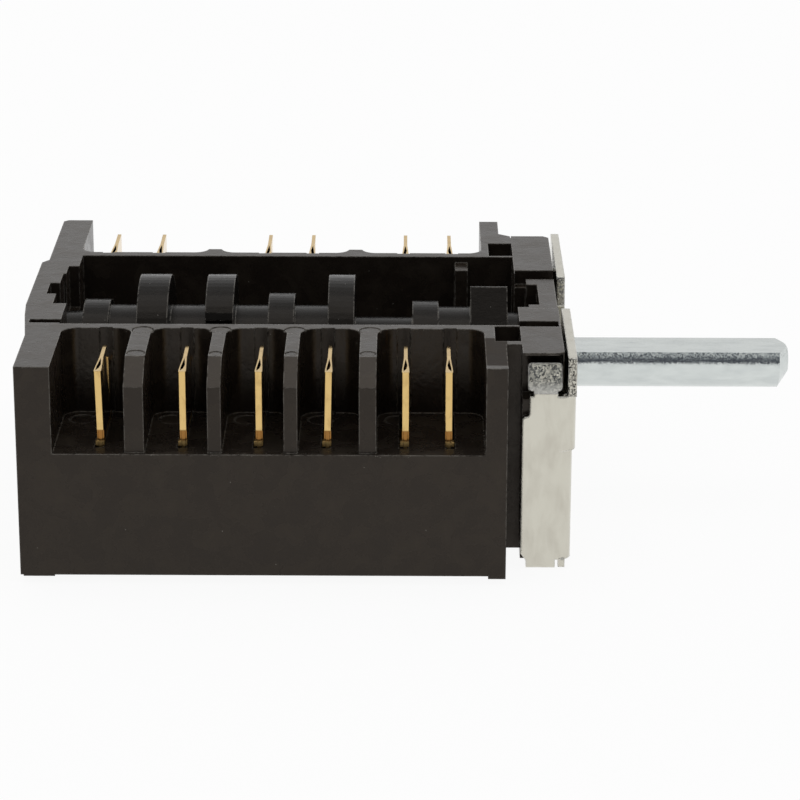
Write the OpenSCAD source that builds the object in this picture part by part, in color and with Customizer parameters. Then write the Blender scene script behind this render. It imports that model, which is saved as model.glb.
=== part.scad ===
// Oven selector switch: an open moulded housing with a cam drum, two rows of folded blade
// terminals, a zinc-plated mounting bracket and a D-shaft.
// Frame: origin on the shaft axis at the outer face of the bracket, +X out along the shaft,
// +Z up. All lengths are in millimetres.

/* [Shaft and bracket] */
// Diameter of the control shaft
shaft_d = 6; // [5:0.1:6.5]
// Size of the shaft across its flat
shaft_flat = 4.6; // [3.8:0.1:5]
// Length of the shaft in front of the bracket
shaft_out = 24; // [12:0.5:50]
// Length of the shaft that sits inside the drum
shaft_in_drum = 10; // [6:0.5:14]
// Length of the coned end of the shaft
shaft_cone = 1.1; // [0.3:0.1:1.6]
// Thickness of the bracket's steel sheet
sheet_t = 0.9; // [0.7:0.05:1.2]
// Outer radius of the folds between the bracket's face and its flanges
fold_r = 1.4; // [1.2:0.05:1.8]
// Step by which the bracket's upper face stands in front of its lower face
pad_rise = 0.3; // [0.1:0.05:0.5]
// Centre distance of the two mounting holes
hole_pitch = 28; // [24:0.5:32]
// Diameter of the mounting holes before tapping
hole_d = 3.3; // [2.5:0.1:4.2]
// Depth of the bracket's side flanges behind its face plate
flange_deep = 4.5; // [3.8:0.1:5]
// Width of the cut-away in the top edge of the bracket
notch_w = 11.2; // [8:0.2:14]
// Depth of the cut-away in the top edge of the bracket
notch_deep = 3.2; // [1:0.1:3.8]

/* [Housing] */
// Height of the housing above the shaft axis
top_h = 7.75; // [7.4:0.05:9]
// Depth of the terminal chambers below the top
pocket_deep = 9.25; // [8.6:0.05:10]
// Thickness of the walls beside the drum
wall_t = 1.4; // [1:0.1:2]
// Depth of the terminal chambers from the long side
chamber_deep = 13.05; // [12.4:0.05:15]
// Thickness of the floor under the terminal chambers
floor_t = 1.7; // [1.2:0.1:2.4]
// Thickness of the long outer walls
side_t = 1.6; // [1.2:0.1:2.2]
// Thickness of the right end wall of the terminal rows
end_wall = 2.2; // [1.6:0.1:3]
// Length of the head between the end wall and the bracket
head_len = 5.85; // [5.4:0.05:7]
// Half width of the head
head_half = 21.95; // [21:0.05:22.5]
// Length of the left end block of the front row
left_block = 3.6; // [3.2:0.1:5]
// How far the middle of the left end stands out
left_bulge = 1.1; // [0.4:0.1:2]
// Depth of the groove between the body and the head, in front
groove_deep = 2.9; // [1.5:0.1:3.2]
// Radius of the inner corners of the chambers
corner_r = 1.6; // [0.6:0.1:2.6]
// Length of the small feet under the housing
foot_len = 3.2; // [1:0.1:4]
// Height of the small feet under the housing
foot_h = 0.3; // [0.1:0.05:0.5]
// Thickness of the base cover
cover_t = 1.5; // [1.1:0.1:2]

/* [Front chambers] */
// Width of chamber 1
chamber_1 = 7.3; // [6.6:0.1:9]
// Width of chamber 2
chamber_2 = 6.4; // [6.2:0.1:8]
// Width of chamber 3
chamber_3 = 6.3; // [6.1:0.1:8]
// Width of chamber 4
chamber_4 = 6.2; // [6:0.1:8]
// Width of chamber 5, which holds two terminals
chamber_5 = 11.05; // [10.6:0.05:13]
// Thickness of rib 1
rib_1 = 2; // [1:0.05:2.4]
// Thickness of rib 2
rib_2 = 1.4; // [1:0.05:2.2]
// Thickness of rib 3
rib_3 = 1.4; // [1:0.05:2.2]
// Thickness of rib 4
rib_4 = 1.75; // [1:0.05:2.2]
// Thickness of the two rear ribs
rear_rib = 1.4; // [1:0.05:2.2]
// Distance from the front face at which the rib tops start to slope
rib_slope_from = 3.7; // [2:0.1:6]
// Height lost by the rib tops at the front face
rib_drop = 2.25; // [1:0.05:4]
// How far the ribs stand back from the long sides
rib_back = 0.45; // [0.2:0.05:1]

/* [Terminals] */
// Width of a blade
blade_w = 6.3; // [5.8:0.1:6.8]
// Length of a blade
blade_len = 8.6; // [6.5:0.1:9.2]
// Thickness of the terminal sheet, folded double at the blade's tip
blade_sheet = 0.4; // [0.3:0.02:0.44]
// Depth of the blade tips behind the long side
tip_back = 2.05; // [1.2:0.05:3]
// Depth of the blades below the top of the housing
tip_drop = 1.1; // [0.4:0.05:1.4]
// Length of the fold at the tip of a blade
fold_len = 4.6; // [3:0.1:5.4]
// Distance of a single blade from the rib on its right
blade_side = 2.75; // [2.4:0.05:3.1]
// Distance between the blades of the pair in chamber 5
front_pair = 4.8; // [4.4:0.1:5.2]
// Distance between the blades of rear pair 1
rear_pair_1 = 5.6; // [5:0.1:6]
// Distance between the blades of rear pair 2
rear_pair_2 = 5.35; // [5:0.05:6]
// Distance between the blades of rear pair 3
rear_pair_3 = 5.4; // [5:0.1:5.8]

/* [Cam drum] */
// Radius of the highest cam lobes
lobe_r = 9; // [8.4:0.1:9.3]
// Radius of cam lobes 1 and 6 where they are low
low_r = 6.3; // [5.9:0.1:6.8]
// Radius of cam lobe 4 where it is low
mid_r = 7; // [6.6:0.1:7.6]
// Radius of the drum between the lobes
core_r = 5.7; // [5.2:0.1:5.8]
// Radius of the thin part of the drum
thin_r = 4.45; // [4.1:0.05:5]
// Width of the narrow cam lobes
lobe_w = 2.8; // [2.2:0.1:3]
// Width of cam lobe 2
wide_lobe_w = 3.3; // [2.8:0.1:3.5]
// Width across the flats of the square detent block
block_w = 11.6; // [11:0.1:11.8]
// Length of the square detent block
block_len = 4; // [3.4:0.1:4.2]
// Radius of the drum's end journals
journal_r = 5; // [4.4:0.1:5.2]
// Diameter of the drum's left pivot
pivot_d = 3.9; // [3:0.1:4.5]

/* [Contacts and detent] */
// Thickness of the contact springs
spring_t = 0.3; // [0.2:0.02:0.34]
// Height of the contact springs
spring_h = 3.6; // [3:0.1:4]
// Diameter of the contact rivet heads
contact_d = 2; // [1.6:0.1:2.2]
// Thickness of the contact rivet heads
rivet_t = 0.5; // [0.3:0.05:0.7]
// Diameter of the follower studs
follower_d = 1.8; // [1.4:0.1:2.2]
// Length of the follower studs behind their round noses
follower_len = 1.4; // [1:0.1:2.4]
// Diameter of the detent roller
roller_d = 4; // [3.4:0.1:4.2]
// Diameter of the roller's pin and of the lever's pin
pin_d = 1.4; // [1:0.1:1.5]
// Thickness of the detent lever's two ears
ear_t = 0.6; // [0.4:0.05:0.7]
// Thickness of the detent spring's leaf
leaf_t = 0.35; // [0.2:0.05:0.5]
// Free height between the detent spring's bend and the base cover
cover_gap = 2.04; // [1:0.02:4]
// Length of the detent lever between its two pins
lever_len = 5.6; // [5:0.1:5.8]

/* [Fits] */
// Running clearance on the radius of shafts and pins
run_gap = 0.05; // [0.02:0.01:0.09]
// Gap between pieces that are fixed to each other
seat_gap = 0.05; // [0.03:0.01:0.1]
// Gap between moving pieces that pass each other
pass_gap = 0.12; // [0.1:0.01:0.2]

/* [Hidden] */

// Over-cut that keeps cutters clear of the faces they cut through
cut = 1;

// Places along X, from the bracket to the left end
plate_face = -pad_rise;
plate_back = plate_face - sheet_t;
head_right = plate_back - seat_gap;
wall_right = head_right - head_len;
row_right = wall_right - end_wall;
WIDTHS = [chamber_1, chamber_2, chamber_3, chamber_4, chamber_5];
RIBS = [rib_1, rib_2, rib_3, rib_4];
// Right end of front chamber i, counted from 0 at the left
function chamber_right(i) = i == 4 ? row_right
    : chamber_right(i + 1) - WIDTHS[i + 1] - RIBS[i];
function rib_mid(i) = chamber_right(i) + RIBS[i] / 2;
row_left = chamber_right(0) - chamber_1;
left_face = row_left - left_block;

// Places along Z of the terminal chambers
floor_z = top_h - pocket_deep;
gallery_top = floor_z - floor_t;
blade_top = top_h - tip_drop;
blade_bottom = blade_top - blade_w;
stack_top = gallery_top + 1.4;
spring_mid = stack_top - spring_h / 2;

// Detent: the roller stands clear of the turning corners of the block
block_corner = block_w / sqrt(2) - 0.1;
roller_at = block_corner + pass_gap + roller_d / 2;
roller_y = roller_at * cos(45);
lever_y = roller_y + lever_len * cos(45);
lever_z = -roller_y + lever_len * sin(45);
ear_r = pin_d / 2 + 0.6;
ear_in = roller_d / 2 - 0.9;
strip_at = roller_d / 2 + 0.25;
leaf_at = roller_at + strip_at + leaf_t + seat_gap;
leaf_end = 2.6;
leaf_w = 2.4;
leaf_foot = 3.9;
leaf_lean = 0.3;
leaf_short = 0.8;
leaf_bend = 0.6;
// A point of the detent's plane: d outwards from the shaft axis past the roller, s along the
// lever towards its pivot
function detent_at(d, s) = [(d + s) * cos(45), (s - d) * sin(45)];
leaf_knee = detent_at(leaf_at + leaf_t / 2, -leaf_end);

// The drum chamber holds the contact stack and the detent lever beside the turning lobes
nose_y = sqrt(pow(lobe_r + pass_gap + follower_d / 2, 2) - pow(spring_mid, 2));
flag_t = blade_sheet;
stack_y = spring_t + 2 * rivet_t + seat_gap + flag_t;
wall_gap = 0.1;
drum_room = wall_gap + max(nose_y + follower_len + stack_y, lever_y + ear_r);
flag_y = drum_room - wall_gap - flag_t;
spring_y = flag_y - 2 * rivet_t - seat_gap - spring_t;

// Places across Y, from the shaft axis outwards
wall_out = drum_room + wall_t;
side_y = wall_out + chamber_deep;
gallery_y = side_y - side_t;
tip_y = side_y - tip_back;

// Marks of the mould's ejector pins: depth of the disc, depth and width of the ring round it
mark_deep = 0.05;
ring_deep = 0.16;
ring_w = 0.13;

// Places along Z of the underside
bottom_h = cover_gap + cover_t - leaf_knee[1];
cover_top = -bottom_h + cover_t;

// Cam lobes: centre, width, low radius, high radius, start and end of the high stretch in
// degrees from the rear towards the top, and length of the ramps
lobe_1_x = row_left + 2.35;
lobe_2_x = rib_mid(0) + 0.35;
lobe_3_x = rib_mid(1) - 0.6;
lobe_4_x = rib_mid(2) - 1.8;
lobe_5_x = rib_mid(3) - 3.1;
lobe_6_x = row_right - chamber_5 / 2 - 0.5;
LOBES = [
    [lobe_1_x, lobe_w, low_r, lobe_r, 152, 262, 14],
    [lobe_2_x, wide_lobe_w, core_r + 0.5, lobe_r, 10, 165, 20],
    [lobe_3_x, lobe_w + 0.2, core_r + 0.5, lobe_r, 62, 127, 34],
    [lobe_4_x, lobe_w, mid_r, lobe_r, 226, 268, 22],
    [lobe_5_x, lobe_w, core_r + 0.5, lobe_r, 352, 508, 18],
    [lobe_6_x, lobe_w, low_r - 0.1, lobe_r, 156, 190, 16]];
block_left = wall_right - 3.4;
block_right = block_left + block_len;
journal_end = head_right - 3.15;

// Blade places, front row then rear row
last_blade = 3.5;
FRONT_X = [chamber_right(0) - blade_side, chamber_right(1) - blade_side,
    chamber_right(2) - blade_side, chamber_right(3) - blade_side - 0.65,
    row_right - last_blade - front_pair, row_right - last_blade];
REAR_X = [lobe_1_x, lobe_1_x + rear_pair_1,
    lobe_4_x - 2.45, lobe_4_x - 2.45 + rear_pair_2,
    lobe_6_x - 2.4, lobe_6_x - 2.4 + rear_pair_3];
// Rear chambers, each for a pair of blades: left and right end
rear_rib_1 = (REAR_X[1] + REAR_X[2]) / 2 + 0.3;
rear_rib_2 = (REAR_X[3] + REAR_X[4]) / 2 - 0.3;
REAR_ROOMS = [[row_left - 0.7, rear_rib_1 - rear_rib / 2],
    [rear_rib_1 + rear_rib / 2, rear_rib_2 - rear_rib / 2],
    [rear_rib_2 + rear_rib / 2, row_right + 0.3]];
// Side on which the single sheet of each blade lies: 1 towards the bracket
FRONT_HAND = [1, 1, 1, 1, 1, -1];
REAR_HAND = [1, -1, 1, -1, 1, -1];
// Small lean of each front blade towards the bracket, in degrees
FRONT_LEAN = [-1.2, 0, 0, 1.2, 0, 0];

// Contact units: row side (-1 front, 1 rear), blade that carries the spring, blade that
// carries the fixed contact, and the lobe that works it
UNITS = [[-1, 0, 1, 1], [-1, 2, 1, 2], [-1, 4, 3, 4], [1, 1, 0, 0], [1, 3, 2, 3], [1, 5, 4, 5]];
function blade_x(side, i) = side < 0 ? FRONT_X[i] : REAR_X[i];
function unit_way(u) = sign(blade_x(u[0], u[2]) - blade_x(u[0], u[1]));
// Distance of a rivet from the middle of the blade whose flag carries its mate
rivet_side = contact_d / 2 + blade_sheet + 0.05;
function rivet_x(u) = blade_x(u[0], u[2]) - (u[0] > 0 ? -1 : 1) * unit_way(u) * rivet_side;
// Free end of a spring: past its rivet and past its follower
function tip_x(u) =
    let (ends = [rivet_x(u) + unit_way(u) * contact_d / 2,
        LOBES[u[3]][0] + unit_way(u) * follower_d / 2])
    unit_way(u) > 0 ? max(ends) + 0.1 : min(ends) - 0.1;

// Places along X of the detent
lever_mid = (block_left + block_right) / 2;
post_right = block_left - 0.1;
post_left = post_right - 1.4;

// Sets the shape's plan on the YZ plane and runs it along X from x0 to x1
module along_x(x0, x1) {
    translate([x0, 0, 0])
        rotate([90, 0, 90])
            linear_extrude(x1 - x0)
                children();
}

// A cylinder along X
module rod(x0, x1, r, y = 0, z = 0) {
    translate([x0, y, z])
        rotate([0, 90, 0])
            cylinder(r = r, h = x1 - x0, $fn = 64);
}

// A box given by its limits
module block(x, y, z) {
    translate([x[0], y[0], z[0]])
        cube([x[1] - x[0], y[1] - y[0], z[1] - z[0]]);
}

// Plan of a chamber that is open on its outer side and has round inner corners
module chamber_plan(x0, x1, side) {
    r = min(corner_r, (x1 - x0) / 2 - 0.1);
    far = side_y + cut;
    for (y = [side > 0 ? wall_out + r : -far])
        translate([x0, y])
            square([x1 - x0, far - wall_out - r]);
    translate([x0 + r, side > 0 ? wall_out : -wall_out - r - 0.1])
        square([x1 - x0 - 2 * r, r + 0.1]);
    for (x = [x0 + r, x1 - r])
        translate([x, side * (wall_out + r)])
            circle(r, $fn = 48);
}

// Slope of the rib tops, seen along X, on the front side: the cutter above the ribs
module rib_slope(start_y, end_y, drop, back) {
    polygon([[start_y, top_h], [start_y, top_h + cut], [-side_y - cut, top_h + cut],
        [-side_y - cut, floor_z], [-side_y + back, floor_z],
        [-side_y + back, top_h - drop], [end_y, top_h - drop]]);
}

// Outer plan of the housing
module housing_plan() {
    rear_left = left_face - 0.4;
    bulge = left_face - left_bulge;
    polygon([[left_face, -side_y], [left_face, -wall_out - 2.6], [bulge + 0.3, -wall_out + 4.3],
        [bulge, -6], [bulge, drum_room - 2.8], [rear_left, drum_room - 1.8],
        [rear_left, side_y - 0.5], [rear_left + 0.5, side_y], [wall_right + 0.2, side_y],
        [wall_right + 0.2, head_half], [wall_right + 1.5, head_half - 1],
        [wall_right + 1.5, head_half - 1.6], [wall_right, head_half - 1.6],
        [wall_right, -side_y]]);
}

// Plan of the head, in the channel's width behind the bracket's flanges
module head_plan() {
    translate([wall_right - 0.5, -head_half + groove_deep])
        square([2.1, 2 * head_half - 1.6 - groove_deep]);
    far = head_half - 0.9;
    polygon([[wall_right + 1.6, -head_half], [head_right - 0.6, -head_half],
        [head_right, -head_half + 0.6], [head_right, far - 0.6], [head_right - 0.6, far],
        [wall_right + 1.6, far]]);
}

module terminal_slot(x, side) {
    y0 = wall_out + 0.1;
    y1 = tip_y + seat_gap;
    block([x - blade_sheet - seat_gap, x + blade_sheet + seat_gap],
        [side > 0 ? y0 : -y1, side > 0 ? y1 : -y0], [gallery_top - cut, floor_z + cut]);
}

// Round-bottomed groove, open at the top, that a journal or a pivot lies in
module cradle(x0, x1, r, half = 0) {
    w = half > 0 ? half : r;
    rod(x0, x1, r);
    block([x0, x1], [-w, w], [0, top_h + cut]);
}

module housing_cuts() {
    // Front chambers, and rear chambers between their two ribs
    translate([0, 0, floor_z])
        linear_extrude(pocket_deep + cut) {
            for (i = [0:4])
                chamber_plan(chamber_right(i) - WIDTHS[i], chamber_right(i), -1);
            for (x = REAR_ROOMS)
                chamber_plan(x[0], x[1], 1);
        }
    // Sloping tops of the ribs
    along_x(row_left, row_right)
        rib_slope(-side_y + rib_slope_from, -side_y + rib_back, rib_drop, rib_back);
    mirror([0, 1, 0])
        along_x(row_left - 0.7, row_right + 0.3)
            rib_slope(-wall_out - 1.3, -side_y + rib_back, 2.4 * rib_drop, rib_back);
    // Drum chamber, open to the top and to the base
    block([row_left - 0.45, wall_right + 1.55], [-drum_room, drum_room],
        [cover_top - cut, top_h + cut]);
    block([wall_right, head_right - 3.05], [-6.2, 6.2], [-7, top_h + cut]);
    // Grooves that the drum's ends lie in
    cradle(row_left - 1.9, row_left, journal_r + 0.5);
    cradle(row_left - 2.95, row_left, pivot_d / 2 + run_gap, pivot_d / 2 + run_gap);
    block([row_left - 1.6, row_left], [journal_r, drum_room - 4.2], [3, top_h + cut]);
    cradle(head_right - 3.1, head_right - 1.9, 3.7);
    // Shaft hole through the head
    rod(head_right - 3.2, head_right + cut, shaft_d / 2 + run_gap);
    // Galleries under the two rows, and the seat of the base cover
    for (i = [0:4])
        block([chamber_right(i) - WIDTHS[i] - (i > 0 ? 0.3 : 0), chamber_right(i) + 0.3],
            [-gallery_y, -drum_room + 0.5], [cover_top - cut, gallery_top]);
    for (x = REAR_ROOMS)
        block([x[0] - 0.3, x[1] + 0.3], [drum_room - 0.5, gallery_y],
            [cover_top - cut, gallery_top]);
    block([row_left - 1.2, row_right + 0.8], [-gallery_y - 0.7, gallery_y + 0.7],
        [-bottom_h - cut, cover_top]);
    for (x = FRONT_X)
        terminal_slot(x, -1);
    for (x = REAR_X)
        terminal_slot(x, 1);
    // Slits beside the drum chamber's front corners
    block([left_face - 0.1, row_left - 0.1], [-drum_room + 0.3, -drum_room + 1.5],
        [top_h - 3, top_h + cut]);
    block([wall_right + 1.5, head_right - 0.2], [-drum_room - 0.4, -drum_room + 1.5],
        [top_h - 4, top_h + cut]);
    // Rectangular wells in the head
    for (s = [-1, 1])
        block([row_right + 1.1, wall_right + 1.55],
            [s * (drum_room + 2.9) - 2.5, s * (drum_room + 2.9) + 2.5],
            [-2, top_h + cut]);
    // Steps in the top of the head around the shaft
    block([head_right - 3.1, head_right + cut], [-6.6, 5.8], [top_h - 0.5, top_h + cut]);
    block([wall_right + 1.6, head_right + cut], [5.7, 7.4], [top_h - 1.6, top_h + cut]);
    // Recesses that the bracket's locking tongues press into
    for (s = [-1, 1])
        block([head_right - flange_deep, head_right - 0.1],
            [s * head_half - 2.4, s * head_half + 2.4], [tongue_foot - 0.6, tongue_tip + 0.9]);
    // Marks of the mould's ejector pins on the ribs, the walls and the chamber floors
    for (i = [0:3]) {
        ejector_mark(rib_mid(i), -side_y + 4.7, top_h, RIBS[i] / 2 - 0.03);
        ejector_mark(rib_mid(i) + 0.1, -wall_out - 0.6, top_h, 1.15);
    }
    for (x = [rear_rib_1, rear_rib_2])
        ejector_mark(x, wall_out + 0.3, top_h, 1);
    for (i = [0:4])
        ejector_mark(chamber_right(i) - WIDTHS[i] + 2.1, -side_y + 10.8, floor_z, 1.4);
    // Shallow guides for the blades in the back walls of the chambers
    for (x = FRONT_X)
        block([x - 0.7, x + 0.7], [-wall_out - 0.1, -wall_out + 0.25], [floor_z, top_h + cut]);
    for (x = REAR_X)
        block([x - 0.7, x + 0.7], [wall_out - 0.25, wall_out + 0.1], [floor_z, top_h + cut]);
    // Blind hole for the lever's pin
    rod(wall_right + 1, wall_right + 2.6, pin_d / 2 + run_gap, lever_y, lever_z);
    // Room behind the bracket's mounting holes
    for (s = [-1, 1])
        rod(head_right - 3.2, head_right + cut, hole_d / 2 + 0.5, s * hole_pitch / 2, 0);
}

// Round mark in a level face, with a narrow ring sunk deeper round its edge
module ejector_mark(x, y, z, r) {
    translate([x, y, z - mark_deep])
        cylinder(r = r, h = mark_deep + cut / 10, $fn = 32);
    translate([x, y, z - ring_deep])
        difference() {
            cylinder(r = r, h = ring_deep + cut / 10, $fn = 32);
            translate([0, 0, -cut])
                cylinder(r = r - ring_w, h = 2 * cut, $fn = 32);
        }
}

// The black moulding
module housing() {
    color("#34302d") {
        difference() {
            union() {
                translate([0, 0, -bottom_h])
                    linear_extrude(bottom_h + top_h)
                        housing_plan();
                translate([0, 0, -bottom_h])
                    linear_extrude(bottom_h + top_h)
                        head_plan();
                // Feet at the corners of the long sides
                for (s = [-1, 1]) {
                    block([left_face + 0.3, left_face + 0.3 + foot_len],
                        [s * (side_y - 0.7) - 0.7, s * (side_y - 0.7) + 0.7],
                        [-bottom_h - foot_h / 2, -bottom_h + 1]);
                    block([wall_right - 1.8, wall_right],
                        [s * (side_y - 0.7) - 0.7, s * (side_y - 0.7) + 0.7],
                        [-bottom_h - foot_h, -bottom_h + 1]);
                }
            }
            housing_cuts();
        }
        lever_post();
    }
}

// Post on the rear wall that carries the free end of the lever's pin
module lever_post() {
    difference() {
        block([post_left, post_right], [lever_y - 1.6, drum_room + 0.2], [-6, top_h - 0.7]);
        rod(post_left - cut, post_right + cut, pin_d / 2 + run_gap, lever_y, lever_z);
    }
}

// Insulating plate that closes the underside
module base_cover() {
    color("#2c2926")
        difference() {
            block([row_left - 1.2 + seat_gap, row_right + 0.8 - seat_gap],
                [-gallery_y - 0.7 + seat_gap, gallery_y + 0.7 - seat_gap],
                [-bottom_h + 0.15, cover_top - seat_gap]);
            // Shallow stiffening panels between the cover's ribs
            for (i = [0:4])
                block([chamber_right(i) - WIDTHS[i] + 0.4, chamber_right(i) - 0.4],
                    [-gallery_y + 1, gallery_y - 1], [-bottom_h - cut, -bottom_h + 0.55]);
        }
}

// Bracket sizes shared with the housing
bracket_half = head_half + seat_gap + sheet_t;
bracket_top = top_h - 0.25;
bracket_foot = -bottom_h + 0.2;
step_z = -2.3;
tongue_foot = 3.4;
tongue_len = 3.4;
tongue_lean = 24;
tongue_tip = tongue_foot + 0.1 + tongue_len * cos(tongue_lean);
flange_left = plate_back - flange_deep + 0.2;
neck_left = flange_left + 1.15;
neck_right = plate_back - 0.7;

// Points of an arc round c from angle a to angle b
function arc(c, r, a, b) = [for (k = [0:6]) c + r * [cos(a + (b - a) * k / 6), sin(a + (b - a) * k / 6)]];

// Flange outline, X to the bracket's face and Y up, up to the fold that begins at x
module flange_plan(x) {
    polygon(concat(
        [[x, tongue_foot], [flange_left + 0.75, tongue_foot], [flange_left + 0.75, 1.6]],
        arc([flange_left + 0.35, 1.6], 0.4, 0, -90),
        arc([flange_left + 0.4, 0.8], 0.4, 90, 180),
        [[flange_left, -bottom_h + 0.9], [flange_left + 0.6, -bottom_h + 0.1],
        [flange_left + 0.6, -bottom_h - 0.1], [neck_right, -bottom_h - 0.1],
        [neck_right, bracket_foot], [x, bracket_foot]]));
}

// Tongue outline: a neck, open to both sides, below a wider head with round corners
module tongue_plan() {
    left = flange_left + 0.55;
    right = plate_back - 0.25;
    low = 0.5;
    r = 0.4;
    translate([neck_left, 0])
        square([neck_right - neck_left, low + 0.1]);
    polygon(concat(arc([left + r, low + r], r, 180, 270), arc([right - r, low + r], r, 270, 360),
        arc([right - r, tongue_len - r], r, 0, 90), arc([left + r, tongue_len - r], r, 90, 180)));
}

// Quarter ring of sheet between the face plate and a flange, from z0 to z1, face at x
module fold(x, z0, z1) {
    translate([x - fold_r, -bracket_half + fold_r, z0])
        linear_extrude(z1 - z0)
            intersection() {
                difference() {
                    circle(fold_r, $fn = 64);
                    circle(fold_r - sheet_t, $fn = 64);
                }
                translate([-0.02, -fold_r])
                    square([fold_r + 0.02, fold_r + 0.02]);
            }
}

// One flange with its fold, its tongue and the tab under the head
module bracket_side() {
    inner = head_half + seat_gap;
    tab_z = -bottom_h - seat_gap;
    translate([0, -inner, 0])
        rotate([90, 0, 0])
            linear_extrude(sheet_t)
                flange_plan(plate_face - fold_r + 0.01);
    // Upper strip of the flange, which reaches the face that stands forward
    block([plate_face - fold_r, -fold_r + 0.01], [-inner - sheet_t, -inner],
        [step_z - 0.2, tongue_foot]);
    fold(plate_face, bracket_foot, step_z);
    fold(0, step_z - 0.2, tongue_foot);
    // Upper corner of the plate, where it has no flange
    block([-sheet_t, 0], [-bracket_half, -bracket_half + fold_r + 0.02],
        [tongue_foot, bracket_top]);
    translate([0, -inner - sheet_t, tongue_foot + 0.1])
        rotate([-tongue_lean, 0, 0])
            translate([0, sheet_t, 0])
                rotate([90, 0, 0])
                    linear_extrude(sheet_t)
                        tongue_plan();
    block([neck_left, neck_right], [-inner - sheet_t, -inner],
        [tongue_foot - 0.1, tongue_foot + 0.4]);
    // Tab folded under the head, with its round bend
    block([flange_left + 0.6, neck_right], [-inner - 0.01, -inner + 2.2],
        [tab_z - sheet_t, tab_z]);
    intersection() {
        rod(flange_left + 0.6, neck_right, sheet_t, -inner, tab_z);
        block([flange_left, neck_right + cut], [-inner - sheet_t, -inner],
            [tab_z - sheet_t, tab_z]);
    }
    block([flange_left + 0.6, neck_right], [-inner - sheet_t, -inner], [tab_z, -bottom_h]);
    // Small lug at the lower corner of the fold
    block([plate_face - fold_r + 0.1, plate_face - fold_r + 0.8], [-inner - sheet_t, -inner],
        [bracket_foot - 0.8, bracket_foot + 0.1]);
}

// Zinc-plated mounting bracket
module mounting_bracket() {
    edge = bracket_half - fold_r;
    color("#c9c6bd")
        difference() {
            union() {
                // Face plate with its forward upper part
                translate([0, edge, 0])
                    rotate([90, 0, 0])
                        linear_extrude(2 * edge)
                            polygon([[-sheet_t, bracket_top], [0, bracket_top], [0, step_z],
                                [plate_face, step_z - pad_rise], [plate_face, bracket_foot],
                                [plate_back, bracket_foot], [plate_back, step_z - pad_rise],
                                [-sheet_t, step_z]]);
                bracket_side();
                mirror([0, 1, 0])
                    bracket_side();
            }
            // Cut-away above the shaft, with sloping ends
            along_x(plate_back - cut, cut)
                polygon([[-notch_w / 2 - 0.4, bracket_top + cut],
                    [-notch_w / 2 + 0.3, bracket_top - notch_deep],
                    [notch_w / 2 - 0.3, bracket_top - notch_deep],
                    [notch_w / 2 + 0.4, bracket_top + cut]]);
            rod(plate_back - cut, cut, shaft_d / 2 + run_gap);
            for (s = [-1, 1])
                rod(plate_back - cut, cut, hole_d / 2, s * hole_pitch / 2, 0);
        }
}

// Section of the shaft with its flat
module shaft_section(gap = 0) {
    intersection() {
        circle(d = shaft_d + 2 * gap, $fn = 64);
        translate([-shaft_d, -shaft_d])
            square([2 * shaft_d, shaft_d + shaft_flat - shaft_d / 2 + gap]);
    }
}

drum_in = journal_end + 0.9;
shaft_left = drum_in - shaft_in_drum;

// Control shaft
module shaft() {
    color("#c7cccb")
        intersection() {
            along_x(shaft_left, shaft_out)
                shaft_section();
            union() {
                rod(shaft_left, shaft_out - shaft_cone, shaft_d / 2 + cut);
                translate([shaft_out - shaft_cone, 0, 0])
                    rotate([0, 90, 0])
                        cylinder(r1 = shaft_d / 2, r2 = shaft_d / 2 - 1.5 * shaft_cone,
                            h = shaft_cone, $fn = 64);
            }
        }
}

// Radius of a cam lobe at an angle: low, a smooth ramp up, high, and a smooth ramp down
function lobe_radius(l, a) =
    let (mid = (l[4] + l[5]) / 2, half = (l[5] - l[4]) / 2,
        off = abs(((a - mid) % 360 + 540) % 360 - 180),
        t = min(1, max(0, (off - half) / l[6])))
    l[3] + (l[2] - l[3]) * (1 - cos(180 * t)) / 2;

module lobe(l) {
    step = 5;
    along_x(l[0] - l[1] / 2, l[0] + l[1] / 2)
        polygon([for (a = [0:step:360 - step])
            [lobe_radius(l, a) * cos(a), lobe_radius(l, a) * sin(a)]]);
}

// Cam drum with lobes, detent block, journals and pivot
module cam_drum() {
    color("#3a3735")
        difference() {
            union() {
                for (l = LOBES)
                    lobe(l);
                rod(row_left - 2.9, row_left + cut, pivot_d / 2);
                rod(row_left - 1.3, row_left + 1.5, journal_r);
                rod(lobe_1_x - lobe_w / 2 + 0.3, lobe_5_x, core_r);
                rod(lobe_5_x - 0.5, lobe_6_x + 0.5, thin_r);
                rod(lobe_6_x, block_left + 0.5, core_r - 0.1);
                along_x(block_left, block_right)
                    intersection() {
                        rotate(45)
                            square(block_w, center = true);
                        circle(block_corner, $fn = 96);
                    }
                rod(block_right - 0.5, journal_end, journal_r);
                rod(journal_end - 0.5, drum_in, 3.6);
            }
            along_x(shaft_left - 0.3, drum_in + cut)
                shaft_section(run_gap);
        }
}

// Blade profile seen from above: X across the sheet, Y inwards from the tip
module blade_profile() {
    mid = blade_sheet / 2;
    half = 0.95 * blade_sheet;
    polygon([[0, blade_len], [2 * mid, blade_len], [2 * mid, fold_len],
        [mid + half, 0.15 * fold_len], [mid + half, 0.3 * mid], [mid + 0.8 * half, 0],
        [mid - 0.8 * half, 0], [mid - half, 0.3 * mid], [mid - half, 0.15 * fold_len],
        [0, fold_len]]);
}

// Gap between the two layers of the fold, wider towards the closed edge
module fold_gap() {
    mid = blade_sheet / 2;
    polygon([[mid - 0.02, 0.94 * fold_len], [1.8 * mid, 0.5 * fold_len], [1.3 * mid, 0.25 * fold_len],
        [-0.1 * mid, 0.09 * fold_len], [-0.1 * mid, 0.3 * fold_len]]);
}

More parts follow.
